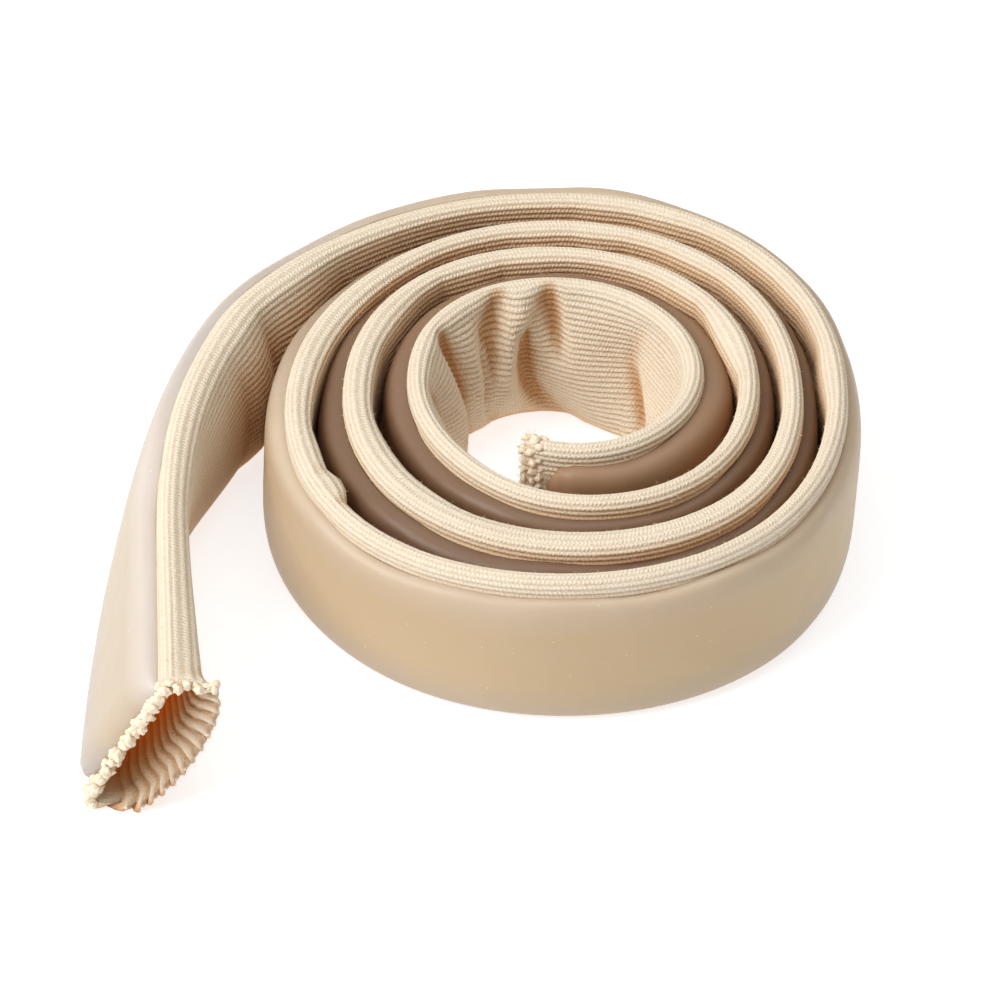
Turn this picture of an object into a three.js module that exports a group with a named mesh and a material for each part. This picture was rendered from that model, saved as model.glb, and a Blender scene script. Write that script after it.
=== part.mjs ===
import * as THREE from "three";

// A toe tube bandage: a knitted tube pressed flat, standing on its edge and wound into a loose coil, with
// a gel coat on its outward side. Sizes in mm; +X is the viewer's right, +Y is away, +Z is up.
const TUBE_WIDTH = 24.6;
const WALL = 1.1;
const SLACK = 0.8;
const GEL_THICKNESS = 1.9;
const GEL_GAP = 0.35;
const GEL_BELOW_TOP = 2.5;
const GEL_ABOVE_FLOOR = 1.1;
const GEL_ROUNDING = 1.5;
const GEL_CORNER = 4;
const GEL_SHORT_OF_START = 3;
const GEL_SHORT_OF_MOUTH = 1.6;
const HALF_TUBE = WALL + SLACK / 2;
const REST_HALF_WIDTH = 0.8;
const KNIT_COLOUR = 0xe6d3b8;
const GEL_COLOUR = 0xcbb798;

// How finely the surfaces are divided: sections are close together along the pleated inner turn, the inward
// wall has a point at each share of its height, and the top fold one at each angle.
const PLEATED_LENGTH = 140;
const CLOSE_SPACING = 3.4;
const WIDE_SPACING = 6.3;
const WALL_SHARES = [1, 0.75, 0.5, 0.25, 0];
const FOLD_ANGLES = [45, 90, 135];
const CORNER_SHARES = [0, 0.1, 0.3, 0.6, 1];
const SAMPLES_PER_ROW = 20;

// Radius of the tube's middle line about the coil's middle, one row a turn, from the inner end outwards.
const COIL_MIDDLE = { x: 0, y: -8.6 };
const COMPASS = ["right", "back_right", "back", "back_left", "left", "front_left", "front", "front_right"];
const TURN_RADII = [
  { right: 17.4, back_right: 19.8, back: 22, back_left: 22.6, left: 20.2, front_left: 20.3, front: 23.3,
    front_right: 25.1 },
  { right: 24.7, back_right: 26.3, back: 27.9, back_left: 28.6, left: 29.2, front_left: 30.8, front: 32.5,
    front_right: 32.1 },
  { right: 30.4, back_right: 32.1, back: 33.7, back_left: 34.6, left: 37.2, front_left: 38.8, front: 38.3,
    front_right: 37.9 },
  { right: 36.1, back_right: 37.8, back: 39.5 },
];
// The inner end starts before the first full turn: radii at front left, front and front right.
const INNER_END_RADII = [12.6, 13.2, 15];
const STEPS_PER_TURN = 24;
const FIRST_STEP = -8;
const LAST_STEP = 78;
const CUT_OFF_START = 1.6;
// Degrees that the outer turn's top leans outwards; the turns inside it lean less.
const OUTER_TURN = 3;
const OUTER_SPLAY = { right: 2.5, back_right: 2, back: 0, back_left: -1, left: -3, front_left: 2,
  front: 1.3, front_right: 2.5 };

// The opened hollow is widest above its middle (a skew over one) and full rather than pointed (a fullness
// under one).
const OPEN_SKEW = 1.3;
const OPEN_FULLNESS = 0.5;
// The free tail: foot of the middle line on the floor, lean of its top towards the coil in degrees, and how
// far the hollow is blown open.
const TAIL = [
  { x: -13, y: 29.9, lean: 1, open: 0 },
  { x: -25.6, y: 25.5, lean: 1, open: 0.4 },
  { x: -36.6, y: 17.6, lean: 0, open: 1.2 },
  { x: -44.8, y: 7.3, lean: -1, open: 2 },
  { x: -50.7, y: -4.6, lean: 2, open: 2.2 },
  { x: -55.7, y: -16.4, lean: 10, open: 1.8 },
  { x: -59, y: -28.6, lean: 17, open: 1.8 },
  { x: -60.6, y: -41, lean: 22.5, open: 3.2 },
  { x: -61.3, y: -53.4, lean: 26.5, open: 5.4 },
  { x: -61.6, y: -65, lean: 29, open: 7.2 },
];

// Pleats of the wall that faces the coil's middle: where along the tube each one is, how far the wall stands
// in there, how long the pleat is, and the heights between which it shows.
const PLEATS = [
  { along: 24, inward: 1, length: 12, low: 0, high: 18 },
  { along: 38, inward: 1.4, length: 13, low: 0, high: 19 },
  { along: 59, inward: 1, length: 14, low: 2, high: 26 },
  { along: 71, inward: 1.7, length: 10, low: -2, high: 24 },
  { along: 83, inward: 2.2, length: 13, low: -2, high: 23 },
  { along: 96, inward: 2.6, length: 14, low: -2, high: 24 },
  { along: 177, inward: 1.2, length: 22, low: 4, high: 34 },
  { along: 274, inward: 1.8, length: 26, low: 0, high: 32 },
  { along: 304, inward: 1.9, length: 90, low: 4, high: 38 },
  { along: 484, inward: 2.6, length: 20, low: 0, high: 32 },
  { along: 592, inward: 0.3, length: 40, low: 0, high: 30 },
];

// Hermite curve through evenly spaced values, at a place counted in rows.
function smooth(values, place) {
  const last = values.length - 1;
  const row = Math.min(Math.max(Math.floor(place), 0), last - 1);
  const t = place - row;
  const from = values[row];
  const to = values[row + 1];
  const slopeFrom = row > 0 ? (to - values[row - 1]) / 2 : to - from;
  const slopeTo = row + 2 <= last ? (values[row + 2] - from) / 2 : to - from;
  const bend = 2 * (from - to) + slopeFrom + slopeTo;
  const lift = 3 * (to - from) - 2 * slopeFrom - slopeTo;
  return from + t * (slopeFrom + t * (lift + t * bend));
}

// Rows of x, y, lean and open along the middle line: the coil from its table, then the tail.
function guideRows() {
  const radii = [...INNER_END_RADII];
  const splays = INNER_END_RADII.map(() => 0);
  for (const turn of TURN_RADII) {
    for (const side of COMPASS) {
      if (side in turn) {
        radii.push(turn[side]);
        splays.push(OUTER_SPLAY[side]);
      }
    }
  }
  const rows = [];
  for (let step = FIRST_STEP; step <= LAST_STEP; step += 1) {
    const turn = step / STEPS_PER_TURN;
    const eighth = turn * COMPASS.length + INNER_END_RADII.length;
    const angle = 2 * Math.PI * turn;
    const radius = smooth(radii, eighth);
    rows.push({
      x: COIL_MIDDLE.x + radius * Math.cos(angle),
      y: COIL_MIDDLE.y + radius * Math.sin(angle),
      lean: -smooth(splays, eighth) * (turn / OUTER_TURN) ** 2,
      open: 0,
    });
  }
  return [...rows, ...TAIL];
}

const GUIDE = guideRows();
const GUIDE_X = GUIDE.map((row) => row.x);
const GUIDE_Y = GUIDE.map((row) => row.y);
const GUIDE_LEAN = GUIDE.map((row) => row.lean);
const GUIDE_OPEN = GUIDE.map((row) => row.open);

// Length along the middle line at closely spaced places in the guide's rows.
function measuredPlaces() {
  const samples = [{ place: 0, length: 0 }];
  for (let i = 1; i <= (GUIDE.length - 1) * SAMPLES_PER_ROW; i += 1) {
    const before = samples[i - 1];
    const place = i / SAMPLES_PER_ROW;
    const step = Math.hypot(
      smooth(GUIDE_X, place) - smooth(GUIDE_X, before.place),
      smooth(GUIDE_Y, place) - smooth(GUIDE_Y, before.place),
    );
    samples.push({ place, length: before.length + step });
  }
  return samples;
}

const MEASURED = measuredPlaces();
const TUBE_LENGTH = MEASURED[MEASURED.length - 1].length - CUT_OFF_START;

// The place in the guide's rows that lies a length along the tube from its inner end.
function placeAt(along) {
  const length = along + CUT_OFF_START;
  const next = Math.max(MEASURED.findIndex((sample) => sample.length >= length - 1e-6), 1);
  const from = MEASURED[next - 1];
  const to = MEASURED[next];
  return THREE.MathUtils.mapLinear(length, from.length, to.length, from.place, to.place);
}

// Foot, outward and upward directions of the leaning section at one place.
function stationAt(along) {
  const nudge = 0.02;
  const place = placeAt(along);
  const heading = Math.atan2(
    smooth(GUIDE_Y, place + nudge) - smooth(GUIDE_Y, place - nudge),
    smooth(GUIDE_X, place + nudge) - smooth(GUIDE_X, place - nudge),
  );
  const lean = THREE.MathUtils.degToRad(smooth(GUIDE_LEAN, place));
  const outward = new THREE.Vector3(Math.sin(heading), -Math.cos(heading), 0);
  const up = new THREE.Vector3(0, 0, 1);
  return {
    along,
    open: Math.max(smooth(GUIDE_OPEN, place), 0),
    foot: new THREE.Vector3(smooth(GUIDE_X, place), smooth(GUIDE_Y, place), 0),
    across: outward.clone().multiplyScalar(Math.cos(lean)).addScaledVector(up, Math.sin(lean)),
    upward: up.clone().multiplyScalar(Math.cos(lean)).addScaledVector(outward, -Math.sin(lean)),
  };
}

// A section point, across and up from the foot; a leaning tube is pressed flat on the floor under it.
function placed(station, across, height, floor) {
  const point = station.foot.clone();
  point.z = HALF_TUBE;
  point.addScaledVector(station.across, across);
  point.addScaledVector(station.upward, height - HALF_TUBE);
  point.z = Math.max(point.z, floor);
  return point;
}

// An edge of the flat strip that the tube rests on.
function restEdge(station, across, floor) {
  const point = placed(station, across, floor, floor);
  point.z = floor;
  return point;
}

// How far the wall towards the coil's middle stands in at one height.
function inwardAt(station, height) {
  const share = THREE.MathUtils.clamp(height / TUBE_WIDTH, 0, 1);
  let inward = station.open * Math.sin(Math.PI * share ** OPEN_SKEW) ** OPEN_FULLNESS;
  for (const pleat of PLEATS) {
    const away = (station.along - pleat.along) / (pleat.length / 2);
    if (Math.abs(away) < 1 && height > pleat.low && height < pleat.high) {
      const lengthways = Math.cos((Math.PI / 2) * away) ** 2;
      const upwards = Math.sin((Math.PI * (height - pleat.low)) / (pleat.high - pleat.low));
      inward += pleat.inward * lengthways * upwards;
    }
  }
  return inward;
}

// The knit's outline at one station, drawn in from its outer skin by a depth: up the outward wall, over
// the top fold, down the inward wall and across the flat it rests on.
function knitOutline(station, depth) {
  const half = HALF_TUBE - depth;
  const rest = Math.min(REST_HALF_WIDTH, half);
  const wallFoot = REST_HALF_WIDTH + depth;
  const wallHead = TUBE_WIDTH - HALF_TUBE;
  const reach = half + inwardAt(station, wallHead);
  const outline = [
    [half, wallFoot],
    [half, TUBE_WIDTH / 2],
    [half, wallHead],
  ];
  for (const turned of FOLD_ANGLES) {
    const angle = THREE.MathUtils.degToRad(turned);
    const side = turned > 90 ? reach : half;
    outline.push([side * Math.cos(angle), wallHead + half * Math.sin(angle)]);
  }
  for (const share of WALL_SHARES) {
    const height = THREE.MathUtils.lerp(wallFoot, wallHead, share);
    outline.push([-half - inwardAt(station, height), height]);
  }
  return [
    restEdge(station, rest, depth),
    ...outline.map(([across, height]) => placed(station, across, height, depth)),
    restEdge(station, -rest, depth),
  ];
}

// The gel's outline at one station: flat against the knit, its long edges rounded.
function gelOutline(station, fromEnd) {
  const back = HALF_TUBE + GEL_GAP;
  const face = back + GEL_THICKNESS;
  const inside = Math.min(fromEnd, GEL_CORNER);
  const corner = GEL_CORNER - Math.sqrt(GEL_CORNER ** 2 - (GEL_CORNER - inside) ** 2);
  const bottom = GEL_ABOVE_FLOOR;
  const top = TUBE_WIDTH - GEL_BELOW_TOP - corner;
  const cut = GEL_ROUNDING * (1 - Math.SQRT1_2);
  return [
    [back, bottom],
    [face - GEL_ROUNDING, bottom],
    [face - cut, bottom + cut],
    [face, bottom + GEL_ROUNDING],
    [face, top - GEL_ROUNDING],
    [face - cut, top - cut],
    [face - GEL_ROUNDING, top],
    [back, top],
    [back, TUBE_WIDTH / 2],
  ].map(([across, height]) => placed(station, across, height, GEL_ABOVE_FLOOR));
}

// Joins rings of equal length into one skin; the first ring's points run anticlockwise seen along the tube.
function skin(rings, closedAlong) {
  const corners = [];
  const faces = [];
  const count = rings[0].length;
  for (const ring of rings) {
    for (const point of ring) {
      corners.push(point.x, point.y, point.z);
    }
  }
  const spans = closedAlong ? rings.length : rings.length - 1;
  for (let i = 0; i < spans; i += 1) {
    const next = (i + 1) % rings.length;
    for (let k = 0; k < count; k += 1) {
      const a = i * count + k;
      const b = i * count + ((k + 1) % count);
      const c = next * count + ((k + 1) % count);
      const d = next * count + k;
      faces.push(a, d, c, a, c, b);
    }
  }
  if (!closedAlong) {
    const end = (rings.length - 1) * count;
    for (let k = 1; k < count - 1; k += 1) {
      faces.push(0, k, k + 1, end, end + k + 1, end + k);
    }
  }
  const geometry = new THREE.BufferGeometry();
  geometry.setAttribute("position", new THREE.Float32BufferAttribute(corners, 3));
  geometry.setIndex(faces);
  geometry.computeVertexNormals();
  return geometry;
}

// Lengths at which the sections stand: close together where the pleats are close.
function sectionLengths(start, end) {
  const lengths = [];
  const pleatedSteps = Math.round((PLEATED_LENGTH - start) / CLOSE_SPACING);
  for (let i = 0; i < pleatedSteps; i += 1) {
    lengths.push(THREE.MathUtils.lerp(start, PLEATED_LENGTH, i / pleatedSteps));
  }
  const plainSteps = Math.round((end - PLEATED_LENGTH) / WIDE_SPACING);
  for (let i = 0; i <= plainSteps; i += 1) {
    lengths.push(THREE.MathUtils.lerp(PLEATED_LENGTH, end, i / plainSteps));
  }
  return lengths;
}

// Knitted tube: out along its outer skin and back along its hollow, open at both ends.
const knitLengths = sectionLengths(0, TUBE_LENGTH);
const knitStations = knitLengths.map(stationAt);
const outerRings = knitStations.map((station) => knitOutline(station, 0));
const hollowRings = knitStations.map((station) => knitOutline(station, WALL)).reverse();
const knitTube = new THREE.Mesh(
  skin([...outerRings, ...hollowRings], true),
  new THREE.MeshStandardMaterial({ color: KNIT_COLOUR, roughness: 0.9 }),
);
knitTube.name = "knit_tube";

// Gel coat: stops short of the knit at both ends, its upper corner rounded at the inner end.
const gelEnd = TUBE_LENGTH - GEL_SHORT_OF_MOUTH;
const gelCornerEnd = GEL_SHORT_OF_START + GEL_CORNER;
const gelLengths = [
  ...CORNER_SHARES.map((share) => GEL_SHORT_OF_START + share * GEL_CORNER),
  ...knitLengths.filter((along) => along > gelCornerEnd && along < gelEnd),
  gelEnd,
];
const gelRings = gelLengths.map((along) => gelOutline(stationAt(along), along - GEL_SHORT_OF_START));
const gelCoat = new THREE.Mesh(
  skin(gelRings, false),
  new THREE.MeshStandardMaterial({ color: GEL_COLOUR, roughness: 0.35 }),
);
gelCoat.name = "gel_coat";

const bandage = new THREE.Group();
bandage.name = "toe_tube_bandage";
bandage.add(knitTube, gelCoat);

// The frame's origin is the middle of the floor under the object.
const box = new THREE.Box3().setFromObject(bandage);
for (const piece of [knitTube, gelCoat]) {
  piece.geometry.translate(-(box.min.x + box.max.x) / 2, -(box.min.y + box.max.y) / 2, -box.min.z);
}

export default bandage;
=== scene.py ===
import math

import bmesh
import bpy
import numpy as np
from mathutils import Euler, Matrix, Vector, noise


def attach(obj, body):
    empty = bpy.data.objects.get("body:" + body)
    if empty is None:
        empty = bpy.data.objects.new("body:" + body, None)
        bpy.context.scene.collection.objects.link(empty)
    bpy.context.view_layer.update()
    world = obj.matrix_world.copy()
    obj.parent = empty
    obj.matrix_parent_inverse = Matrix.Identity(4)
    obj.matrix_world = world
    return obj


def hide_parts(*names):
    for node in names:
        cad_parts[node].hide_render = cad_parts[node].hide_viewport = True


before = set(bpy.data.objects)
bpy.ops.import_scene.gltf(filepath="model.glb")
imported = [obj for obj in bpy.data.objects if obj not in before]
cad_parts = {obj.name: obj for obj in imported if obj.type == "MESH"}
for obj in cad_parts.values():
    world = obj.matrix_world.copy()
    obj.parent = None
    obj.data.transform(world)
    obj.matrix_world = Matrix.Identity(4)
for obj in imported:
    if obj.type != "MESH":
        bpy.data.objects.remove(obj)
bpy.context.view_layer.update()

# Route of the tube. The flat tube stands on its edge and is wound into a loose coil from its inner end out;
# its last stretch runs free towards the viewer, leans over and stands open. Sizes in millimetres.
MM = 0.001
TUBE_WIDTH = 24.6
WALL = 1.1
HALF_TUBE = 1.5
PLAN_TO_FRAME = np.array([11.89, 15.352, 0.0])
COIL_MIDDLE = (0.0, -8.6)
STEPS_PER_TURN = 24
FIRST_STEP = -8
LAST_STEP = 78
OUTER_TURN = 3
CUT_OFF_START = 1.6
# Radius of the middle line, anticlockwise from the right, eight a turn; the inner end starts at front left.
INNER_END_RADII = [12.6, 13.2, 15]
TURN_RADII = [
    [17.4, 19, 20.3, 21.5, 20.1, 20.3, 23.3, 25.5],
    [25, 25.8, 26.8, 28.8, 29.2, 30.4, 32.1, 33.2],
    [30.5, 31.3, 32.4, 34.1, 37.6, 38.6, 38.3, 38.4],
    [36.1, 37.1, 38.3],
]
# Degrees that the outer turn's top leans outwards at the same eight sides; the turns inside it lean less.
OUTER_SPLAY = [2.5, 2, 0, -1, -4.5, 2.5, 1.3, 2.5]
# The free tail: foot on the floor, lean of the top towards the coil in degrees, how far it is blown open
# and how far both its walls belly out low down.
TAIL = [
    dict(x=-13, y=28.9, lean=1, open=0, belly=0),
    dict(x=-25.1, y=24.5, lean=1, open=0.4, belly=0.3),
    dict(x=-36.1, y=17.1, lean=1, open=0.6, belly=1.3),
    dict(x=-44.9, y=7.3, lean=1.5, open=1, belly=2.6),
    dict(x=-50.9, y=-4.4, lean=4.5, open=1.5, belly=2.6),
    dict(x=-56, y=-16.3, lean=11, open=1.8, belly=1.5),
    dict(x=-59, y=-28.6, lean=17, open=1.8, belly=0.5),
    dict(x=-60.6, y=-41, lean=22.5, open=2.6, belly=0),
    dict(x=-61.3, y=-53.4, lean=26.5, open=3.6, belly=0),
    dict(x=-61.6, y=-63.8, lean=29, open=4.6, belly=0),
]
MOUTH_FLARE = 2.0
MOUTH_FLARE_REACH = 3.6
BELLY_SKEW = 0.65
BELLY_FULLNESS = 0.8


def smooth(values, place):
    """Hermite curve through evenly spaced values, at places counted in rows."""
    values = np.asarray(values, float)
    last = len(values) - 1
    row = np.clip(np.floor(place).astype(int), 0, last - 1)
    t = place - row
    start = values[row]
    end = values[row + 1]
    slope_start = np.where(row > 0, (end - values[np.maximum(row - 1, 0)]) / 2, end - start)
    slope_end = np.where(row + 2 <= last, (values[np.minimum(row + 2, last)] - start) / 2, end - start)
    bend = 2 * (start - end) + slope_start + slope_end
    lift = 3 * (end - start) - 2 * slope_start - slope_end
    return start + t * (slope_start + t * (lift + t * bend))


def guide_rows():
    """Rows of x, y, lean, open and belly along the middle line: the coil from its tables, then the tail."""
    radii = INNER_END_RADII + [radius for turn in TURN_RADII for radius in turn]
    splays = [0] * len(INNER_END_RADII) + OUTER_SPLAY * OUTER_TURN + OUTER_SPLAY[:len(TURN_RADII[-1])]
    turn = np.arange(FIRST_STEP, LAST_STEP + 1) / STEPS_PER_TURN
    eighth = turn * len(OUTER_SPLAY) + len(INNER_END_RADII)
    radius = smooth(radii, eighth)
    angle = 2 * np.pi * turn
    coil = np.stack([
        COIL_MIDDLE[0] + radius * np.cos(angle),
        COIL_MIDDLE[1] + radius * np.sin(angle),
        -smooth(splays, eighth) * (turn / OUTER_TURN) ** 2,
        0 * turn,
        0 * turn,
    ], axis=1)
    tail = np.array([list(row.values()) for row in TAIL])
    return np.vstack([coil, tail])


GUIDE = guide_rows()
PLACES_PER_ROW = 20
GUIDE_PLACES = np.arange((len(GUIDE) - 1) * PLACES_PER_ROW + 1) / PLACES_PER_ROW
GUIDE_STEPS = np.hypot(
    np.diff(smooth(GUIDE[:, 0], GUIDE_PLACES)),
    np.diff(smooth(GUIDE[:, 1], GUIDE_PLACES)),
)
GUIDE_LENGTHS = np.concatenate([[0], np.cumsum(GUIDE_STEPS)])
TUBE_LENGTH = GUIDE_LENGTHS[-1] - CUT_OFF_START


def line_at(along):
    """Foot, directions and opening of the standing tube at lengths from its inner end."""
    inside = np.clip(along, 0, TUBE_LENGTH)
    place = np.interp(inside + CUT_OFF_START, GUIDE_LENGTHS, GUIDE_PLACES)
    nudge = 0.02
    heading = np.arctan2(
        smooth(GUIDE[:, 1], place + nudge) - smooth(GUIDE[:, 1], place - nudge),
        smooth(GUIDE[:, 0], place + nudge) - smooth(GUIDE[:, 0], place - nudge),
    )
    lean = np.radians(smooth(GUIDE[:, 2], place))[:, None]
    forward = np.stack([np.cos(heading), np.sin(heading), 0 * heading], axis=1)
    outward = np.stack([np.sin(heading), -np.cos(heading), 0 * heading], axis=1)
    up = np.array([0.0, 0.0, 1.0])
    foot = np.stack([smooth(GUIDE[:, 0], place), smooth(GUIDE[:, 1], place), 0 * place], axis=1)
    flare = np.clip(1 - (TUBE_LENGTH - inside) / MOUTH_FLARE_REACH, 0, 1) ** 2
    return dict(
        along=inside,
        foot=foot + forward * (along - inside)[:, None],
        across=outward * np.cos(lean) + up * np.sin(lean),
        upward=up * np.cos(lean) - outward * np.sin(lean),
        open=np.maximum(smooth(GUIDE[:, 3], place), 0) + MOUTH_FLARE * flare,
        belly=np.maximum(smooth(GUIDE[:, 4], place), 0),
    )


def belly_at(line, height):
    """How far both walls belly out at a height."""
    share = np.clip(height / TUBE_WIDTH, 0, 1)
    return line["belly"] * np.sin(np.pi * share ** BELLY_SKEW) ** BELLY_FULLNESS


def placed(line, across, height, floor):
    """Points across and up from the foot of the leaning tube, in metres, none lower than the floor given."""
    point = line["foot"] + np.array([0, 0, HALF_TUBE]) + PLAN_TO_FRAME
    point = point + line["across"] * across[:, None] + line["upward"] * (height - HALF_TUBE)[:, None]
    point[:, 2] = np.maximum(point[:, 2], floor)
    return point * MM


# Rib knit. Cotton yarn on fine elastic, knitted in the round in narrow ribs that run the tube's length.
# Pressed flat it has a fold above and one below; the wall that faces the coil's middle bunches up.
RIBS = 60
RIB_HEIGHT = 0.3
RIB_ROUNDNESS = 0.7
RIB_CORNERS = 4
COVERED_RIB_CORNERS = 2
COVERED_RIBS = (0.08, 0.4)
STITCH = 0.57
BUNCHED_LENGTH = 140
BUNCHED_SPACING = 1.0
PLAIN_SPACING = 2.4
RIM_LENGTH = 8
LINING_SPACING = 2.5
LINING_COLUMNS = 31
FLAT_LINING = 1.35
MOUTH_LINING = 26
MOUTH_SPACING = 1.3
MOUTH_RIB_HEIGHT = 0.45
MOUTH_RIB_INSET = 0.2
RIM_LOBES = 30
LOBE_LENGTH = 1.0
LOBE_REACH = 1.4
RIM_SLANT = 2.0
RIM_SLANT_REACH = 6
RIM_SLANT_MIDDLE = 0.93
RIM_SLANT_WIDTH = 0.23
OPEN_SKEW = 1.15
OPEN_FULLNESS = 0.4
OPEN_LIFT = 0.2
OPEN_LIFT_START = 2
OVER_FOLD = 0.1
OVER_FOLD_STRETCH = 0.35
FOLD_FULLNESS = 0.75
CREASE_REACH = 2.2
# Painted shade that browns the tail's low inward wall: its strength, where along the tube it starts and over
# what length it comes in, the height share where it has faded out and over what share it fades.
TAIL_SHADE = 0.6
TAIL_SHADE_START = 662
TAIL_SHADE_REACH = 40
TAIL_SHADE_TOP = 0.909
TAIL_SHADE_FADE = 0.4545
# How far off a surface the painted shade of tight corners looks for cover.
SHADE_REACH = 6
STITCH_RELIEF = 0.18
LOOP_RELIEF = 0.16
LOOP_SLOPE = 0.9
LOOP_OFFSET = 0.37
LOOP_WANDER = 0.8
LOOP_SHADE = 0.05
FLUFF_SHADE = 0.4
PATCH_SHADE = 0.25
LINING_RELIEF = 0.4
LINING_CLOUD = 0.12
# Folds of the inward wall: place along the tube, how far the wall stands in, length along the tube, heights
# between which it shows, how far its top is shifted along the tube, and how far its middle is.
FOLDS = [
    dict(along=27, inward=1, length=10, low=-2, high=22, slant=0),
    dict(along=40, inward=1.6, length=17, low=-3, high=22, slant=-1),
    dict(along=51.5, inward=3, length=18, low=-6, high=23, slant=3, bow=5),
    dict(along=66, inward=4.6, length=8.5, low=1, high=23.5, slant=0, bow=4),
    dict(along=74.5, inward=3.7, length=8, low=0.5, high=23.5, slant=3, bow=1.5),
    dict(along=64, inward=-1.25, length=16, low=-20, high=9, slant=0),
    dict(along=84.5, inward=4.2, length=12.5, low=-7, high=23.5, slant=5, bow=-1),
    dict(along=96.5, inward=3, length=13, low=-2, high=23, slant=3),
    dict(along=60, inward=-1.3, length=4, low=12, high=25, slant=3),
    dict(along=64, inward=0.9, length=4, low=14, high=25, slant=3),
    dict(along=71.5, inward=-1.8, length=4.5, low=12, high=25, slant=-5),
    dict(along=80, inward=-1.4, length=4, low=11, high=24, slant=3),
    dict(along=47, inward=-0.8, length=4, low=-2, high=14, slant=4),
    dict(along=174, inward=1.4, length=16, low=4, high=34, slant=0),
    dict(along=187, inward=0.6, length=9, low=8, high=25, slant=0),
    dict(along=209, inward=0.7, length=9, low=8, high=25, slant=3),
    dict(along=220, inward=0.8, length=10, low=8, high=25, slant=-3),
    dict(along=234, inward=0.7, length=13, low=8, high=25, slant=0),
    dict(along=247, inward=1.2, length=46, low=4, high=38, slant=0),
    dict(along=270, inward=0.9, length=26, low=0, high=32, slant=0),
    dict(along=299, inward=1.9, length=90, low=4, high=38, slant=0),
    dict(along=380, inward=0.6, length=10, low=8, high=25, slant=-3),
    dict(along=393, inward=0.8, length=8, low=8, high=25, slant=2),
    dict(along=402, inward=0.7, length=9, low=8, high=25, slant=0),
    dict(along=443, inward=1.3, length=52, low=4, high=38, slant=0),
    dict(along=469, inward=1.1, length=16, low=0, high=34, slant=0),
    dict(along=475, inward=1.5, length=7, low=6, high=34, slant=0),
    dict(along=577, inward=0.9, length=12, low=4, high=27, slant=-6),
    dict(along=592, inward=0.6, length=10, low=8, high=25, slant=4),
    dict(along=601, inward=0.6, length=8, low=8, high=25, slant=-3),
    dict(along=615, inward=0.7, length=11, low=6, high=25, slant=3),
    dict(along=626, inward=0.6, length=9, low=6, high=25, slant=-3),
    dict(along=674, inward=1.8, length=15, low=-4, high=25, slant=0),
    dict(along=687, inward=1.6, length=10.5, low=-4, high=25, slant=1),
]


def inward_at(line, height, folds):
    """How far the wall towards the coil's middle stands in."""
    share = np.clip(height / TUBE_WIDTH, 0, 1)
    inward = line["open"] * np.sin(np.pi * share ** OPEN_SKEW) ** OPEN_FULLNESS
    for fold in folds:
        shifted = fold["along"] + fold["slant"] * (share - 0.5)
        shifted = shifted + fold.get("bow", 0) * np.sin(np.pi * share)
        away = np.clip((line["along"] - shifted) / (fold["length"] / 2), -1, 1)
        rise = np.clip((height - fold["low"]) / (fold["high"] - fold["low"]), 0, 1)
        billow = np.cos(np.pi / 2 * away) * np.sin(np.pi * rise) ** FOLD_FULLNESS
        inward = inward + fold["inward"] * billow
    return inward


def crease_shade_at(along, share):
    """Painted shade for the inward wall: how deep it lies in a crease between its folds, plus more low in
    the lee of the tail.
    """
    height = np.clip((1 - share) * 2, 0, 1) * TUBE_WIDTH
    beside = [inward_at(line_at(along + step), height, FOLDS) for step in (-CREASE_REACH, CREASE_REACH)]
    depth = (beside[0] + beside[1]) / 2 - inward_at(line_at(along), height, FOLDS)
    on_tail = np.clip((along - TAIL_SHADE_START) / TAIL_SHADE_REACH, 0, 1)
    low_down = np.clip((TAIL_SHADE_TOP - height / TUBE_WIDTH) / TAIL_SHADE_FADE, 0, 1)
    return (np.clip(depth, 0, None) + TAIL_SHADE * on_tail * low_down) * (share > 0.5)


def knit_point(along, share, depth=0, ribs=RIBS, rib_height=RIB_HEIGHT, swell=0, folds=FOLDS):
    """Points of the knit, a share of the way round from below, at a depth in its wall."""
    line = line_at(along)
    half = HALF_TUBE - depth
    straight = TUBE_WIDTH - 2 * HALF_TUBE
    quarter = half * np.pi / 2
    spread = inward_at(line, TUBE_WIDTH - HALF_TUBE, folds) * (share > 0.5)
    top_quarter = np.hypot(quarter, spread)
    climb = np.minimum(share, 1 - share) * 2 * (quarter + straight + top_quarter)
    lower = np.clip(climb / quarter, 0, 1) * np.pi / 2
    upper = np.clip((climb - quarter - straight) / top_quarter, 0, 1) * np.pi / 2
    wall = np.clip(climb - quarter, 0, straight)
    over_fold = np.clip(1 - np.abs(share - 0.5) / OVER_FOLD, 0, 1)
    groove = 1 - np.abs(np.cos(np.pi * share * ribs)) ** RIB_ROUNDNESS
    groove = groove * (1 - OVER_FOLD_STRETCH * over_fold)
    reach = half + swell - rib_height * groove
    sideways = np.sin(lower) * np.cos(upper)
    across = reach * sideways
    height = HALF_TUBE + wall - reach * np.cos(lower) + reach * np.sin(upper)
    inward = inward_at(line, np.minimum(height, TUBE_WIDTH - HALF_TUBE), folds) * sideways
    belly = belly_at(line, height) * sideways
    across = np.where(share <= 0.5, across + belly, -across - inward - belly)
    opened = np.clip(line["open"] - OPEN_LIFT_START, 0, None)
    lift = OPEN_LIFT * opened * inward * (height / TUBE_WIDTH) ** 2
    height = height + lift * (share > 0.5)
    return placed(line, across, height, depth)


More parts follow.
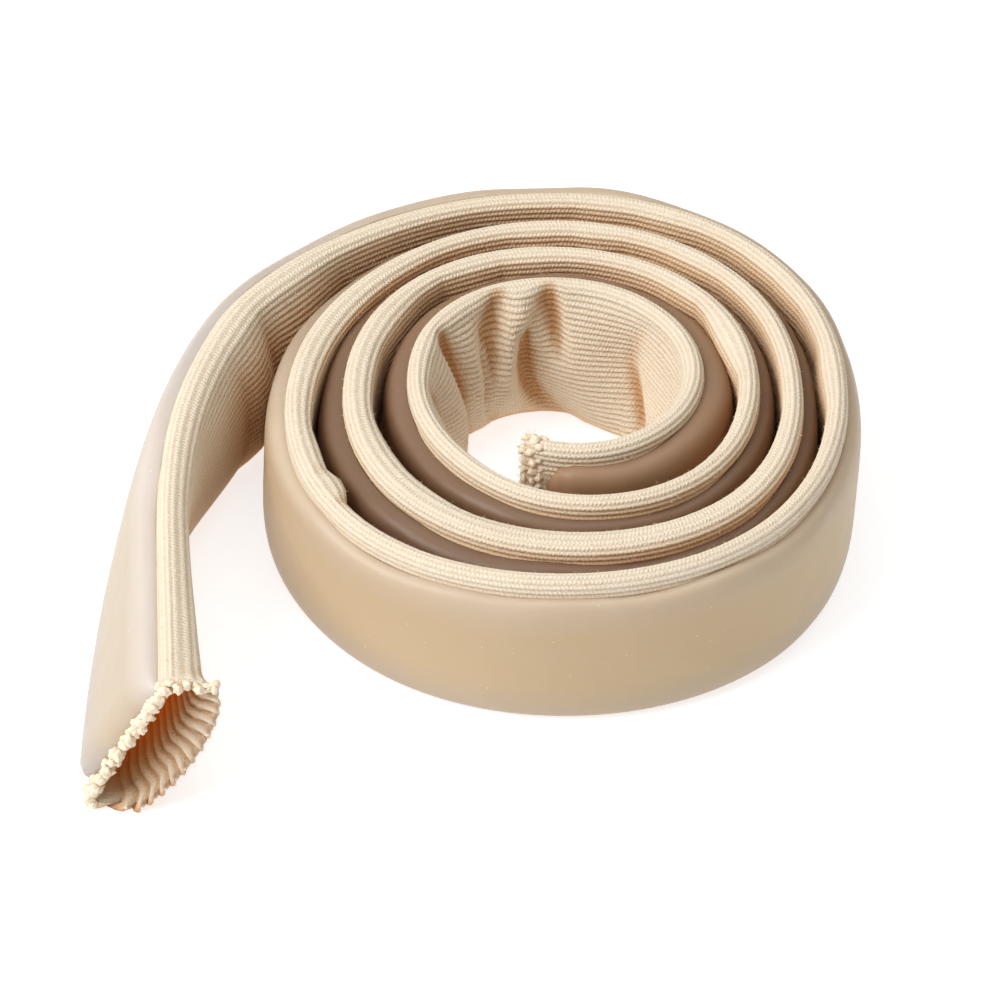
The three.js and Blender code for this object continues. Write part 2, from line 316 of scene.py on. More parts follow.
def drawn_out(along, share):
    """Lengths near the mouth, drawn out in lobes at the ribs' cut ends and further where it lies down."""
    near = np.clip(1 - (TUBE_LENGTH - along) / LOBE_REACH, 0, 1)
    lobe = LOBE_LENGTH * near * np.abs(np.cos(np.pi * share * RIM_LOBES))
    within = np.clip(1 - (TUBE_LENGTH - along) / RIM_SLANT_REACH, 0, 1)
    away = np.abs((share - RIM_SLANT_MIDDLE + 0.5) % 1 - 0.5)
    return along + lobe + RIM_SLANT * within * np.clip(1 - away / RIM_SLANT_WIDTH, 0, 1)


def wrapped_skin(bm, shares, *stretches):
    """Wraps a flat grid of cloth into a tube, closes its long seam and returns the ring at each end.

    Each stretch is given by its lengths, its section and the number of its material.
    """
    lengths = np.concatenate([stretch[0] for stretch in stretches])
    part = np.concatenate([np.full(len(stretch[0]), number) for number, stretch in enumerate(stretches)])
    # Each point keeps the painted shade of its crease, and of the tail's low inward wall, for the knit's
    # colour.
    crease_shade = bm.verts.layers.float.get("crease_shade") or bm.verts.layers.float.new("crease_shade")
    made = bmesh.ops.create_grid(bm, x_segments=len(shares) - 1, y_segments=len(lengths) - 1, size=0.5)
    verts = np.array(made["verts"])
    flat = np.array([vert.co for vert in verts])
    column = np.rint((flat[:, 0] + 0.5) * (len(shares) - 1)).astype(int)
    row = np.rint((flat[:, 1] + 0.5) * (len(lengths) - 1)).astype(int)
    share = np.asarray(shares)[column]
    along = lengths[row]
    cloth = bm.loops.layers.uv.get("cloth") or bm.loops.layers.uv.new("cloth")
    for vert, across_ribs, along_stitches in zip(verts, share * RIBS, along / STITCH):
        for loop in vert.link_loops:
            loop[cloth].uv = (across_ribs, along_stitches)
    for vert, deep in zip(verts, crease_shade_at(along, share)):
        vert[crease_shade] = deep
    for number, (_, section, material) in enumerate(stretches):
        inside = part[row] == number
        points = knit_point(drawn_out(along[inside], share[inside]), share[inside], **section)
        for vert, point in zip(verts[inside], points):
            vert.co = point
            for face in vert.link_faces:
                face.material_index = material
    seam = verts[(column == 0) | (column == len(shares) - 1)]
    bmesh.ops.remove_doubles(bm, verts=list(seam), dist=1e-6)
    rings = []
    for wanted in (0, len(lengths) - 1):
        ring = [(place % 1, vert) for place, vert in zip(share[row == wanted], verts[row == wanted])]
        rings.append(sorted((one for one in ring if one[1].is_valid), key=lambda one: one[0]))
    return rings


def join_rings(bm, one, other):
    """Joins two rings of the knit with triangles, going round both together."""
    one = one + [(1, one[0][1])]
    other = other + [(1, other[0][1])]
    first = 0
    second = 0
    while first < len(one) - 1 or second < len(other) - 1:
        ended = second == len(other) - 1
        if ended or first < len(one) - 1 and one[first + 1][0] <= other[second + 1][0]:
            bm.faces.new((one[first][1], one[first + 1][1], other[second][1]))
            first += 1
        else:
            bm.faces.new((one[first][1], other[second + 1][1], other[second][1]))
            second += 1


def rib_shares():
    """Shares of the way round with corners on each rib, fewer on the ribs that the gel covers."""
    shares = []
    for number in range(RIBS):
        covered = COVERED_RIBS[0] < number / RIBS < COVERED_RIBS[1]
        steps = COVERED_RIB_CORNERS if covered else RIB_CORNERS
        shares += [(number + step / steps) / RIBS for step in range(steps)]
    return shares + [1.0]


def shader_node(material, kind, **settings):
    """A node of the material with its settings and unlinked input values."""
    node = material.node_tree.nodes.new(kind)
    for name, value in settings.items():
        if hasattr(node, name):
            setattr(node, name, value)
        else:
            node.inputs[name].default_value = value
    return node


def math_node(material, operation, *values):
    """A Math node of sockets and numbers, given by its output."""
    node = shader_node(material, "ShaderNodeMath", operation=operation)
    for socket, value in zip(node.inputs, values):
        if isinstance(value, bpy.types.NodeSocket):
            material.node_tree.links.new(value, socket)
        else:
            socket.default_value = value
    return node.outputs[0]


def noise_node(material, scale, detail, roughness=0.5):
    """Noise in the object's own space, given by its output."""
    place = shader_node(material, "ShaderNodeTexCoord")
    pattern = shader_node(material, "ShaderNodeTexNoise", Scale=scale, Detail=detail, Roughness=roughness)
    material.node_tree.links.new(place.outputs["Object"], pattern.inputs["Vector"])
    return pattern.outputs[0]


def colour_ramp(material, value, stops):
    """Colours that follow a value, given by their output."""
    ramp = shader_node(material, "ShaderNodeValToRGB")
    while len(ramp.color_ramp.elements) < len(stops):
        ramp.color_ramp.elements.new(0.5)
    for element, (position, colour) in zip(ramp.color_ramp.elements, stops):
        element.position = position
        element.color = (*colour, 1)
    material.node_tree.links.new(value, ramp.inputs["Fac"])
    return ramp.outputs["Color"]


def add_bump(material, height, distance, strength=1.0):
    """Lets a height in the material stand out from its surface."""
    surface = material.node_tree.nodes["Principled BSDF"]
    bump = shader_node(material, "ShaderNodeBump", Strength=strength, Distance=distance)
    material.node_tree.links.new(height, bump.inputs["Height"])
    material.node_tree.links.new(bump.outputs["Normal"], surface.inputs["Normal"])


def multiplied(material, one, other):
    """One colour times another, given by its output."""
    mix = shader_node(material, "ShaderNodeMix", data_type="RGBA", blend_type="MULTIPLY")
    mix.inputs["Factor"].default_value = 1.0
    material.node_tree.links.new(one, mix.inputs["A"])
    material.node_tree.links.new(other, mix.inputs["B"])
    return mix.outputs["Result"]


def shaded_colour(material, colour, stops):
    """A colour times a painted shade tint, which darkens it where the surface lies less open to the light.
    """
    open_to_light = shader_node(material, "ShaderNodeAmbientOcclusion", samples=4, Distance=SHADE_REACH * MM)
    tint = colour_ramp(material, open_to_light.outputs["AO"], stops)
    return multiplied(material, colour, tint)


def cotton_finish(material):
    """The dull, downy surface of cotton."""
    surface = material.node_tree.nodes["Principled BSDF"]
    surface.inputs["Roughness"].default_value = 0.95
    surface.inputs["Specular IOR Level"].default_value = 0.12
    surface.inputs["Sheen Weight"].default_value = 0.08
    surface.inputs["Sheen Roughness"].default_value = 0.5
    surface.inputs["Sheen Tint"].default_value = (1.0, 0.93, 0.82, 1)


def knit_material():
    """Fuzzy beige rib knit: a column of loops on each rib, paler on the ridges; painted shade makes it
    red-brown in the grooves, tight corners and creases.
    """
    material = bpy.data.materials.new("rib knit")
    material.use_nodes = True
    links = material.node_tree.links
    surface = material.node_tree.nodes["Principled BSDF"]
    cloth = shader_node(material, "ShaderNodeUVMap", uv_map="cloth")
    split = shader_node(material, "ShaderNodeSeparateXYZ")
    links.new(cloth.outputs["UV"], split.inputs[0])
    wander = noise_node(material, 700, 2)
    fluff = noise_node(material, 3200, 3, 0.65)
    patch = noise_node(material, 160, 2)
    groove = math_node(material, "PINGPONG", split.outputs["X"], 0.5)
    rib = math_node(material, "ROUND", split.outputs["X"])
    phase = math_node(material, "MULTIPLY_ADD", groove, LOOP_SLOPE, split.outputs["Y"])
    phase = math_node(material, "MULTIPLY_ADD", rib, LOOP_OFFSET, phase)
    phase = math_node(material, "MULTIPLY_ADD", wander, LOOP_WANDER, phase)
    loops = math_node(material, "SINE", math_node(material, "MULTIPLY", phase, 2 * math.pi))
    height = math_node(material, "MULTIPLY_ADD", loops, LOOP_RELIEF, fluff)
    add_bump(material, height, STITCH_RELIEF * MM)
    # Over the fold the knit is stretched and its grooves open out, so they get less painted shade there.
    from_fold = math_node(material, "SUBTRACT", split.outputs["X"], RIBS / 2)
    from_fold = math_node(material, "ABSOLUTE", from_fold)
    over_fold = math_node(material, "MULTIPLY_ADD", from_fold, -1 / (OVER_FOLD * RIBS), 1.0)
    over_fold = math_node(material, "MAXIMUM", over_fold, 0.0)
    stretch = math_node(material, "MULTIPLY_ADD", over_fold, -OVER_FOLD_STRETCH, 1.0)
    groove = math_node(material, "MULTIPLY", groove, stretch)
    # Painted shade in the grooves, with the loops' pattern and a random tone from the fluff and patches
    # mixed in.
    groove_shade_and_tone = math_node(material, "MULTIPLY_ADD", loops, -LOOP_SHADE, groove)
    groove_shade_and_tone = math_node(material, "MULTIPLY_ADD", fluff, -FLUFF_SHADE, groove_shade_and_tone)
    groove_shade_and_tone = math_node(material, "MULTIPLY_ADD", patch, -PATCH_SHADE, groove_shade_and_tone)
    groove_shade_and_tone = math_node(material, "ADD", groove_shade_and_tone, (FLUFF_SHADE + PATCH_SHADE) / 2)
    colour = colour_ramp(material, groove_shade_and_tone, [
        (0.0, (0.86, 0.77, 0.64)),
        (0.28, (0.82, 0.71, 0.56)),
        (0.48, (0.75, 0.6, 0.45)),
        (0.62, (0.65, 0.47, 0.33)),
    ])
    # Painted shade: darker and warmer where the knit lies closed in, in tight corners and narrow gaps.
    shaded = shaded_colour(material, colour, [
        (0.1, (0.95, 0.66, 0.44)),
        (0.5, (0.97, 0.84, 0.69)),
        (0.8, (1.0, 1.0, 1.0)),
    ])
    # Painted shade in the creases between the folds and low on the tail's inward wall.
    crease_shade = shader_node(material, "ShaderNodeAttribute", attribute_name="crease_shade")
    crease_shade_tint = colour_ramp(material, crease_shade.outputs["Fac"], [
        (0.1, (1.0, 1.0, 1.0)),
        (1.0, (0.7, 0.48, 0.31)),
    ])
    links.new(multiplied(material, shaded, crease_shade_tint), surface.inputs["Base Color"])
    cotton_finish(material)
    return material


def lining_material():
    """The inside of the knit: beige at the mouth, painted shade turns it warm orange deeper in, with a
    painted glow for light soaking through.
    """
    material = bpy.data.materials.new("knit lining")
    material.use_nodes = True
    links = material.node_tree.links
    surface = material.node_tree.nodes["Principled BSDF"]
    cloth = shader_node(material, "ShaderNodeUVMap", uv_map="cloth")
    split = shader_node(material, "ShaderNodeSeparateXYZ")
    links.new(cloth.outputs["UV"], split.inputs[0])
    fluff = noise_node(material, 2600, 3, 0.65)
    from_mouth = math_node(material, "SUBTRACT", TUBE_LENGTH / STITCH, split.outputs["Y"])
    depth = math_node(material, "MULTIPLY", from_mouth, STITCH / MOUTH_LINING)
    depth = math_node(material, "ADD", depth, LINING_CLOUD / 2)
    depth = math_node(material, "MULTIPLY_ADD", fluff, -LINING_CLOUD, depth)
    # Painted shade: the lining turns warmer and darker orange the further in from the mouth.
    colour = colour_ramp(material, depth, [
        (0.02, (0.8, 0.66, 0.5)),
        (0.15, (0.8, 0.51, 0.26)),
        (0.4, (1.0, 0.3, 0.0)),
    ])
    # Painted glow for the light that soaks through the wall deep in the mouth.
    painted_glow = colour_ramp(material, depth, [(0.08, (0.0, 0.0, 0.0)), (0.42, (0.9, 0.3, 0.02))])
    links.new(painted_glow, surface.inputs["Emission Color"])
    surface.inputs["Emission Strength"].default_value = 0.1
    # Painted shade in the grooves between the lobes of the lining.
    lobe = math_node(material, "MULTIPLY", split.outputs["X"], RIM_LOBES / RIBS)
    lobe = math_node(material, "PINGPONG", lobe, 0.5)
    groove = colour_ramp(material, lobe, [(0.15, (1.0, 1.0, 1.0)), (0.45, (0.8, 0.66, 0.53))])
    links.new(multiplied(material, colour, groove), surface.inputs["Base Color"])
    add_bump(material, fluff, LINING_RELIEF * MM)
    cotton_finish(material)
    return material


def new_piece(name, bm, *materials):
    """A smooth-shaded piece at the origin, with its place in its mesh."""
    mesh = bpy.data.meshes.new(name)
    for face in bm.faces:
        face.smooth = True
    bm.to_mesh(mesh)
    bm.free()
    for material in materials:
        mesh.materials.append(material)
    piece = bpy.data.objects.new(name, mesh)
    bpy.context.collection.objects.link(piece)
    return piece


def ribbed_tube():
    """The skin, turned in at the mouth, and the lining deeper in, joined there and round the inner end."""
    bm = bmesh.new()
    skin_lengths = np.concatenate([
        np.arange(0, BUNCHED_LENGTH, BUNCHED_SPACING),
        np.arange(BUNCHED_LENGTH, TUBE_LENGTH - RIM_LENGTH, PLAIN_SPACING),
        np.linspace(TUBE_LENGTH - RIM_LENGTH, TUBE_LENGTH, round(RIM_LENGTH / BUNCHED_SPACING)),
    ])
    lining_end = TUBE_LENGTH - MOUTH_LINING
    lining_lengths = np.linspace(0, lining_end, round(lining_end / LINING_SPACING))
    mouth_lengths = np.linspace(TUBE_LENGTH, lining_end, round(MOUTH_LINING / MOUTH_SPACING))
    plain = dict(depth=FLAT_LINING, rib_height=0, folds=[])
    mouth = dict(depth=WALL, ribs=RIM_LOBES, rib_height=-MOUTH_RIB_HEIGHT, swell=-MOUTH_RIB_INSET)
    skin = wrapped_skin(bm, rib_shares(), (mouth_lengths[::-1], mouth, 1), (skin_lengths[::-1], {}, 0))
    lining = wrapped_skin(bm, np.linspace(0, 1, LINING_COLUMNS), (lining_lengths, plain, 1))
    join_rings(bm, skin[0], lining[1])
    join_rings(bm, skin[1], lining[0])
    bmesh.ops.recalc_face_normals(bm, faces=bm.faces)
    return new_piece("ribbed_tube", bm, knit_material(), lining_material())


tube = ribbed_tube()
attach(tube, "root")
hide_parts("knit_tube")

# Cut ends of the ribs. Where the tube is cut the elastic yarn draws back and each pair of ribs puffs out
# into little round tufts: an uneven roll of them on the near side of the mouth, small ones behind the
# lobes of its far side, and a ragged bunch round the inner end.
PUFF_SIZE = 0.8
PUFF_STRETCH = (0.65, 1.3)
PUFF_LUMPS = 0.45
LUMP_SCALE = 1.6
LUMP_RANGE = 50
PUFF_SCATTER = 0.12
PUFF_CLEARANCE = 1.65
PUFF_RELIEF = 0.2
NEAR_SIDE = 0.56
UPPER_SIDE = (0.3, 0.66)
luck = np.random.default_rng(7)


def cotton_material():
    """Loose cotton: pale and downy, with painted shade making it a little darker in its hollows."""
    material = bpy.data.materials.new("loose cotton")
    material.use_nodes = True
    surface = material.node_tree.nodes["Principled BSDF"]
    down = noise_node(material, 2400, 3, 0.65)
    # Painted shade: darker where the bump's noise lies low, in the cotton's hollows.
    colour = colour_ramp(material, down, [(0.3, (0.84, 0.66, 0.46)), (0.55, (0.95, 0.84, 0.68))])
    material.node_tree.links.new(colour, surface.inputs["Base Color"])
    add_bump(material, down, PUFF_RELIEF * MM)
    cotton_finish(material)
    return material


COTTON = cotton_material()


def add_puff(bm, place, size, detail):
    """A round tuft of yarn with a lumpy skin."""
    made = bmesh.ops.create_icosphere(bm, subdivisions=detail, radius=1.0)
    stretch = size * luck.uniform(*PUFF_STRETCH, 3)
    lump = Vector(luck.uniform(0, LUMP_RANGE, 3))
    for vert in made["verts"]:
        uneven = 1 + PUFF_LUMPS * noise.noise(vert.co * LUMP_SCALE + lump)
        vert.co = Vector(place) + Vector(np.array(vert.co) * stretch * uneven * MM)


def rim_puffs():
    """Tufts round both cut ends of the knit."""
    bm = bmesh.new()
    near_side = np.arange(0, RIM_LOBES * NEAR_SIDE)
    far_side = np.arange(RIM_LOBES * NEAR_SIDE, RIM_LOBES)
    all_round = np.arange(RIM_LOBES)
    upper_side = np.arange(RIM_LOBES * UPPER_SIDE[0], RIM_LOBES * UPPER_SIDE[1])
    rows = [
        dict(lobes=near_side, end=TUBE_LENGTH, beyond=0.35, depth=0.3, size=0.9, detail=3),
        dict(lobes=near_side + 0.5, end=TUBE_LENGTH, beyond=0.15, depth=WALL - 0.15, size=0.85, detail=3),
        dict(lobes=near_side + 0.3, end=TUBE_LENGTH, beyond=0, depth=-0.2, size=0.75, detail=3),
        dict(lobes=near_side + 0.7, end=TUBE_LENGTH, beyond=0, depth=0, size=0.65, detail=2),
        dict(lobes=np.rint(far_side), end=TUBE_LENGTH, beyond=-0.45, depth=0.6, size=0.5, detail=2),
        dict(lobes=all_round, end=0, beyond=0, depth=0.35, size=0.75, detail=2),
        dict(lobes=all_round + 0.5, end=0, beyond=-0.3, depth=0.8, size=0.7, detail=2),
        dict(lobes=upper_side, end=0, beyond=1.1, depth=0.2, size=0.85, detail=2),
        dict(lobes=upper_side + 0.5, end=0, beyond=2, depth=0.3, size=0.75, detail=2),
    ]
    for row in rows:
        share = (row["lobes"] + luck.normal(0, PUFF_SCATTER, len(row["lobes"]))) / RIM_LOBES
        along = drawn_out(row["end"] + 0 * share, share) + row["beyond"]
        along = along + luck.normal(0, PUFF_SCATTER, len(share))
        for place in knit_point(along, share, depth=row["depth"]):
            size = PUFF_SIZE * row["size"]
            place[2] = max(place[2], size * PUFF_CLEARANCE * MM)
            add_puff(bm, place, size, row["detail"])
    return new_piece("rib_end_tufts", bm, COTTON)


tufts = rim_puffs()
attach(tufts, "root")

# Down. Short cotton fibres stand off the knit wherever it has been handled: along the upper fold, on the
# bunched inward wall and thickest round the two cut ends.
FIBRE_THICKNESS = 0.035
FIBRE_ROOT = -0.1
FIBRE_AIM = 0.3
FIBRE_TILT = 0.8
FIBRE_ABOVE_FLOOR = 0.1
FOOT_BACK = 0.5
FOOT_SIDE = 0.87
DOWN = [
    dict(count=25000, along=(0, TUBE_LENGTH), share=(0.41, 0.61), length=(0.1, 0.26)),
    dict(count=10000, along=(20, 130), share=(0.6, 0.98), length=(0.12, 0.32)),
    dict(count=5000, along=(150, TUBE_LENGTH), share=(0.6, 0.75), length=(0.1, 0.26)),
    dict(count=1500, along=(-0.8, 1.2), share=(0, 1), length=(0.25, 0.7)),
    dict(count=900, along=(TUBE_LENGTH - 1, TUBE_LENGTH + 0.9), share=(0, 1), length=(0.2, 0.45)),
]


def knit_down():
    """Each fibre is a thin three-sided spike with its foot in the knit; all are joined in one mesh."""
    feet = []
    tips = []
    for patch in DOWN:
        along = luck.uniform(*patch["along"], patch["count"])
        share = luck.uniform(*patch["share"], patch["count"])
        along = drawn_out(along, share)
        foot = knit_point(along, share, swell=FIBRE_ROOT)
        out = knit_point(along, share, swell=FIBRE_AIM) - foot
        out = out / np.linalg.norm(out, axis=1)[:, None]
        lie = out + luck.normal(0, FIBRE_TILT, out.shape)
        length = luck.uniform(*patch["length"], patch["count"])[:, None]
        feet.append(foot)
        tips.append(foot + lie * length * MM)
    foot = np.vstack(feet)
    tip = np.vstack(tips)
    for end in (foot, tip):
        end[:, 2] = np.maximum(end[:, 2], FIBRE_ABOVE_FLOOR * MM)
    side = np.cross(tip - foot, luck.normal(0, 1, foot.shape))
    side = side / np.linalg.norm(side, axis=1)[:, None] * FIBRE_THICKNESS * MM
    other = np.cross(tip - foot, side)
    other = other / np.linalg.norm(other, axis=1)[:, None] * FIBRE_THICKNESS * MM
    back = foot - FOOT_BACK * side
    corners = np.stack([foot + side, back + FOOT_SIDE * other, back - FOOT_SIDE * other, tip], axis=1)
    first = np.arange(len(foot))[:, None] * 4
    faces = np.hstack([first + np.array([0, 2, 1]), first + np.array([0, 1, 3]),
                       first + np.array([1, 2, 3]), first + np.array([2, 0, 3])])
    mesh = bpy.data.meshes.new("knit_down")
    mesh.from_pydata(corners.reshape(-1, 3).tolist(), [], faces.reshape(-1, 3).tolist())
    mesh.materials.append(COTTON)
    piece = bpy.data.objects.new("knit_down", mesh)
    bpy.context.collection.objects.link(piece)
    return piece


down = knit_down()
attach(down, "root")

# Gel coat. A strip of soft, milky polymer gel moulded onto the outward wall of the knit. It is rounded
# along both its long edges, stops short of the knit's inner end and runs up to the tufts of the mouth.
GEL_GAP = -0.15
GEL_EDGE = 0.06
GEL_ABOVE_FLOOR = 0.5
GEL_FULLNESS = 6
GEL_BLUNTNESS = 0.35
GEL_CORNER = 3.5
GEL_END_TAPER = 3
GEL_END_THICKNESS = 0.15
GEL_SHORT_OF_START = 3
GEL_SHORT_OF_MOUTH = 0.1
GEL_ROWS = 460
GEL_FACE_STEPS = 26
GEL_WAVE = 0.14
GEL_WAVE_LENGTHS = (2.9, 4.7)
GEL_RELIEF = 1.2
# Where along the strip the painted light on the tail's upper gel edge begins, and over what share it comes
# in.
EDGE_LIGHT_START = 0.8583
EDGE_LIGHT_REACH = 1 / 12
GEL_CLOUD = 0.12
GEL_DRIFT = 0.03
PORE_DEPTH = 0.06
DUST_SCALE = 400.0
DUST_SIZE = 0.035
# Lengths along the strip over which the painted shade of the coiled-in turns gives way to the gel's own
# colour.
COILED_IN = 422
COILED_OUT = 470
# Along the strip: how far its upper edge stays below the fold, and its thickness; it bulges where the
# turn is tight.
GEL_PLACES = [
    dict(along=0, below=2.8, thickness=2.2),
    dict(along=12, below=2.5, thickness=3.4),
    dict(along=30, below=1.7, thickness=4.3),
    dict(along=45, below=1.5, thickness=3.5),
    dict(along=60, below=1.3, thickness=3),
    dict(along=88, below=2.2, thickness=3.6),
    dict(along=110, below=2.6, thickness=3.2),
    dict(along=130, below=2.8, thickness=2.4),
    dict(along=170, below=2.2, thickness=2.3),
    dict(along=215, below=2, thickness=2.3),
    dict(along=260, below=2.2, thickness=3.8),
    dict(along=282, below=2.5, thickness=3.4),
    dict(along=310, below=2.8, thickness=2.4),
    dict(along=355, below=2.2, thickness=2.3),
    dict(along=405, below=2, thickness=2.3),
    dict(along=435, below=2.2, thickness=3.2),
    dict(along=455, below=2.4, thickness=2.8),
    dict(along=480, below=2.7, thickness=2.3),
    dict(along=505, below=2.8, thickness=2.3),
    dict(along=562, below=2.4, thickness=2.4),
    dict(along=582, below=2, thickness=1.9),
    dict(along=602, below=1.4, thickness=2.3),
    dict(along=628, below=0.7, thickness=3.1),
    dict(along=650, below=0.5, thickness=3),
    dict(along=675, below=0.9, thickness=2.6),
    dict(along=700, below=1.8, thickness=2.4),
    dict(along=720, below=2.8, thickness=2.5),
    dict(along=758, below=2.8, thickness=2.3),
]


def gel_section():
    """Shares of thickness and height round the strip: its face from below upwards, then its back."""
    rise = (1 - np.cos(np.linspace(0, np.pi, GEL_FACE_STEPS))) / 2
    swell = (1 - np.abs(2 * rise - 1) ** GEL_FULLNESS) ** GEL_BLUNTNESS
    thickness = np.concatenate([[0], GEL_EDGE + (1 - GEL_EDGE) * swell, [0, 0, 0]])
    height = np.concatenate([[0], rise, [1, 0.5, 0]])
    return thickness, height


def gel_point(along, column):
    """Points of the gel's skin: its corners are rounded at both ends and its upper edge wavers a little."""
    thickness, rise = (values[column] for values in gel_section())
    places = [place["along"] for place in GEL_PLACES]
    below = np.interp(along, places, [place["below"] for place in GEL_PLACES])
    thickness = thickness * np.interp(along, places, [place["thickness"] for place in GEL_PLACES])
    height = GEL_ABOVE_FLOOR + rise * (TUBE_WIDTH - below - GEL_ABOVE_FLOOR)
    inside = np.minimum(along - GEL_SHORT_OF_START, TUBE_LENGTH - GEL_SHORT_OF_MOUTH - along)
    taper = np.sin(np.pi / 2 * np.clip(inside / GEL_END_TAPER, 0, 1))
    taper = GEL_END_THICKNESS + (1 - GEL_END_THICKNESS) * taper
    line = line_at(along)
    from_end = GEL_CORNER - np.clip(inside, 0, GEL_CORNER)
    corner = GEL_CORNER - np.sqrt(GEL_CORNER ** 2 - from_end ** 2)
    near_start = along < TUBE_LENGTH / 2
    waves = np.sin(along / GEL_WAVE_LENGTHS[0]) + np.sin(along / GEL_WAVE_LENGTHS[1] + 1)
    waver = GEL_WAVE * waves * rise ** 4
    height = np.where(near_start, height - corner * rise, height + corner * (1 - rise)) + waver
    across = HALF_TUBE + GEL_GAP + thickness * taper + belly_at(line, height)
    return placed(line, across, height, GEL_ABOVE_FLOOR)


def gel_material():
    """Milky soft gel: tan, darkened by painted shade where it is coiled in, made pale on the tail by painted
    light, with dimples and dust.
    """
    material = bpy.data.materials.new("milky gel")
    material.use_nodes = True
    links = material.node_tree.links
    surface = material.node_tree.nodes["Principled BSDF"]
    strip = shader_node(material, "ShaderNodeUVMap", uv_map="strip")
    split = shader_node(material, "ShaderNodeSeparateXYZ")
    links.new(strip.outputs["UV"], split.inputs[0])
    # Painted shade darkens the turns coiled inside the outer one; painted light makes the gel on the tail
    # less yellow.
    drift = noise_node(material, 45, 2)
    coil = math_node(material, "MULTIPLY_ADD", drift, GEL_DRIFT, split.outputs["Y"])
    depth = colour_ramp(material, coil, [
        (0.04, (0.58, 0.45, 0.37)),
        (0.16, (0.38, 0.29, 0.245)),
        (COILED_IN / TUBE_LENGTH, (0.34, 0.26, 0.22)),
        (COILED_OUT / TUBE_LENGTH, (1.0, 1.0, 1.0)),
        (0.86, (1.0, 1.0, 1.0)),
        (0.93, (0.93, 1.02, 1.25)),
    ])
    # Painted light: the tail's gel is paler towards its upper edge.
    on_tail = math_node(material, "SUBTRACT", split.outputs["Y"], EDGE_LIGHT_START)
    on_tail = math_node(material, "DIVIDE", on_tail, EDGE_LIGHT_REACH)
    on_tail = math_node(material, "MINIMUM", on_tail, 1.0)
    edge_light_mask = math_node(material, "MULTIPLY", on_tail, split.outputs["X"])
    painted_edge_light = colour_ramp(material, edge_light_mask, [(0.72, (1.0, 1.0, 1.0)), (0.95, (1.15, 1.16, 1.15))])
    depth = multiplied(material, depth, painted_edge_light)
    cloud = noise_node(material, 70, 3)
    level = math_node(material, "MULTIPLY_ADD", cloud, GEL_CLOUD, split.outputs["X"])
    level = math_node(material, "SUBTRACT", level, GEL_CLOUD / 2)
    # Greyer and paler towards its long edges: partly the gel's own colour where no knit lies behind it,
    # partly painted light shining through the edges.
    body = colour_ramp(material, level, [
        (0.0, (0.48, 0.39, 0.295)),
        (0.16, (0.5, 0.39, 0.27)),
        (0.34, (0.54, 0.405, 0.245)),
        (0.74, (0.54, 0.405, 0.245)),
        (0.9, (0.55, 0.43, 0.3)),
        (1.0, (0.58, 0.475, 0.36)),
    ])
    place = shader_node(material, "ShaderNodeTexCoord")
    dust = shader_node(material, "ShaderNodeTexVoronoi", Scale=DUST_SCALE)
    links.new(place.outputs["Object"], dust.inputs["Vector"])
    speck = math_node(material, "LESS_THAN", dust.outputs["Distance"], DUST_SIZE)
    dusted = shader_node(material, "ShaderNodeMix", data_type="RGBA")
    links.new(speck, dusted.inputs["Factor"])
    links.new(body, dusted.inputs["A"])
    dusted.inputs["B"].default_value = (0.8, 0.74, 0.66, 1)
    # Painted shade: darker where the gel lies closed in, in narrow gaps between the turns.
    shaded = shaded_colour(material, dusted.outputs["Result"], [
        (0.15, (0.9, 0.78, 0.68)),
        (0.6, (1.0, 1.0, 1.0)),
    ])
    links.new(multiplied(material, shaded, depth), surface.inputs["Base Color"])
    dimples = noise_node(material, 90, 2)
    pores = noise_node(material, 900, 2)
    ripple = math_node(material, "MULTIPLY_ADD", pores, PORE_DEPTH, dimples)
    add_bump(material, ripple, GEL_RELIEF * MM, 0.5)
    surface.inputs["Roughness"].default_value = 0.42
    surface.inputs["IOR"].default_value = 1.38
    surface.inputs["Subsurface Weight"].default_value = 0.45
    surface.inputs["Subsurface Radius"].default_value = (1.0, 0.7, 0.45)
    surface.inputs["Subsurface Scale"].default_value = 0.002
    return material


def gel_strip():
    """The strip's skin, wrapped like the knit, with both ends closed."""
    bm = bmesh.new()
    section_heights = gel_section()[1]
    columns = len(section_heights)
    lengths = np.linspace(GEL_SHORT_OF_START, TUBE_LENGTH - GEL_SHORT_OF_MOUTH, GEL_ROWS)
    made = bmesh.ops.create_grid(bm, x_segments=columns - 1, y_segments=GEL_ROWS - 1, size=0.5)
    verts = made["verts"]
    flat = np.array([vert.co for vert in verts])
    column = np.rint((flat[:, 0] + 0.5) * (columns - 1)).astype(int)
    row = np.rint((flat[:, 1] + 0.5) * (GEL_ROWS - 1)).astype(int)
    strip = bm.loops.layers.uv.new("strip")
    for vert, rise, along in zip(verts, section_heights[column], lengths[row]):
        for loop in vert.link_loops:
            loop[strip].uv = (rise, along / TUBE_LENGTH)
    for vert, point in zip(verts, gel_point(lengths[row], column)):
        vert.co = point
    bmesh.ops.remove_doubles(bm, verts=verts, dist=1e-6)
    rims = [edge for edge in bm.edges if edge.is_boundary]
    bmesh.ops.holes_fill(bm, edges=rims)
    bmesh.ops.recalc_face_normals(bm, faces=bm.faces)
    return new_piece("gel_strip", bm, gel_material())


gel = gel_strip()
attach(gel, "root")
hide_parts("gel_coat")

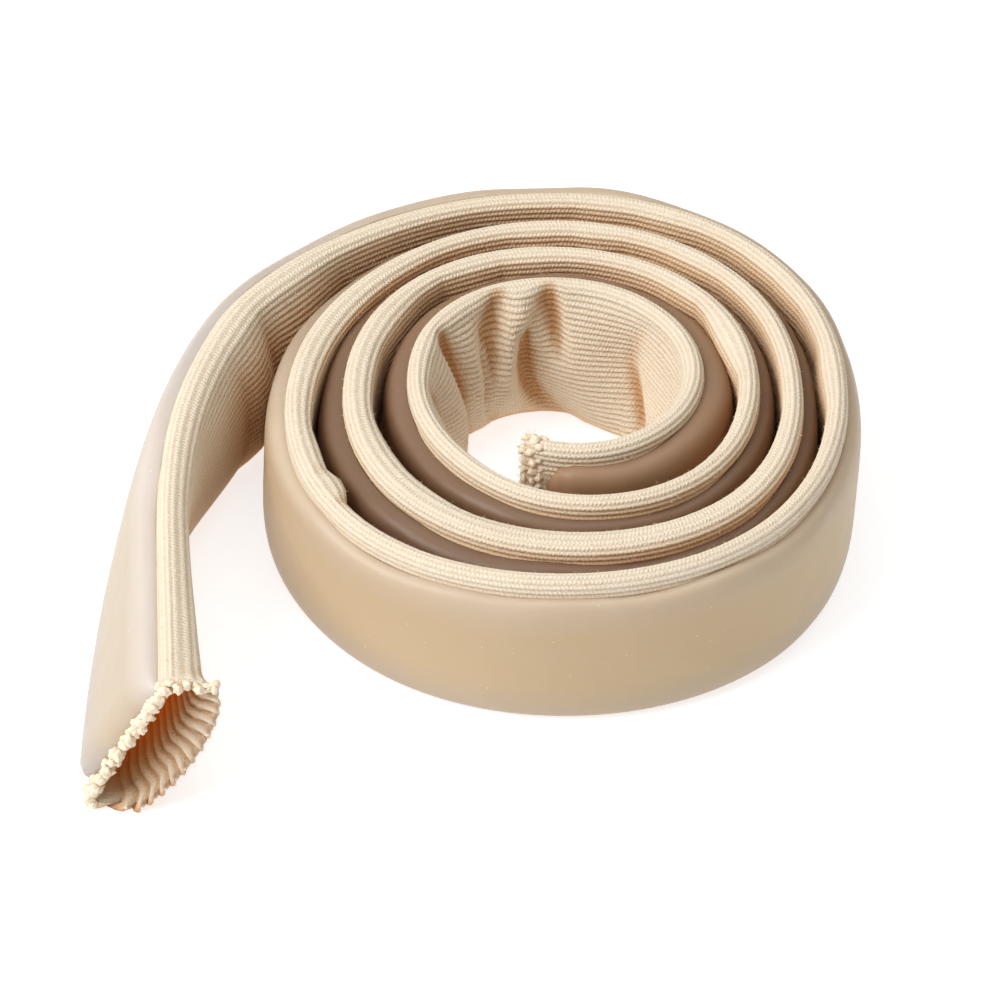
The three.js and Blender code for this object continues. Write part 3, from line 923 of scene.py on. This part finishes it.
# Studio. A plain white floor that glows a little like a light table, a wide soft light from the left,
# a softer one overhead, and a white room all round. Places and sizes here are in metres.
FLOOR_SIZE = 6.0
floor_mesh = bmesh.new()
bmesh.ops.create_grid(floor_mesh, x_segments=1, y_segments=1, size=FLOOR_SIZE / 2)
floor_material = bpy.data.materials.new("pale floor")
floor_material.use_nodes = True
floor_surface = floor_material.node_tree.nodes["Principled BSDF"]
floor_surface.inputs["Base Color"].default_value = (0.56, 0.58, 0.62, 1)
floor_surface.inputs["Roughness"].default_value = 0.9
floor_surface.inputs["Specular IOR Level"].default_value = 0.1
floor_surface.inputs["Emission Color"].default_value = (1.0, 1.0, 1.0, 1)
floor_surface.inputs["Emission Strength"].default_value = 0.69
floor = new_piece("floor", floor_mesh, floor_material)

world = bpy.data.worlds.new("soft white room")
world.use_nodes = True
world.node_tree.nodes["Background"].inputs["Color"].default_value = (1.0, 0.91, 0.8, 1)
world.node_tree.nodes["Background"].inputs["Strength"].default_value = 0.34
bpy.context.scene.world = world


def soft_light(name, place, size, power):
    """A square light aimed at the middle of the object."""
    data = bpy.data.lights.new(name, "AREA")
    data.size = size
    data.energy = power
    light = bpy.data.objects.new(name, data)
    light.location = place
    light.rotation_euler = (-Vector(place)).to_track_quat("-Z", "Y").to_euler()
    bpy.context.collection.objects.link(light)


soft_light("left", (-0.9, -0.35, 0.95), 0.9, 16.8)
soft_light("top", (0.05, 0.1, 1.2), 0.9, 4.5)

# Camera. Raised in front of the object and far off with a long lens, as the photograph was taken; the
# shifts bring the object to its place in the frame.
CAMERA_HEIGHT_ANGLE = math.radians(43)
CAMERA_DISTANCE = 0.9
aim = Vector(PLAN_TO_FRAME) * MM
camera_data = bpy.data.cameras.new("camera")
camera_data.lens = 232
camera_data.sensor_width = 36
camera_data.shift_x = -0.065
camera_data.shift_y = -0.032
camera = bpy.data.objects.new("camera", camera_data)
towards_camera = Vector((0, -math.cos(CAMERA_HEIGHT_ANGLE), math.sin(CAMERA_HEIGHT_ANGLE)))
camera.location = aim + CAMERA_DISTANCE * towards_camera
camera.rotation_euler = Euler((math.pi / 2 - CAMERA_HEIGHT_ANGLE, 0, 0))
bpy.context.collection.objects.link(camera)
bpy.context.scene.camera = camera
bpy.context.scene.view_settings.view_transform = "Standard"
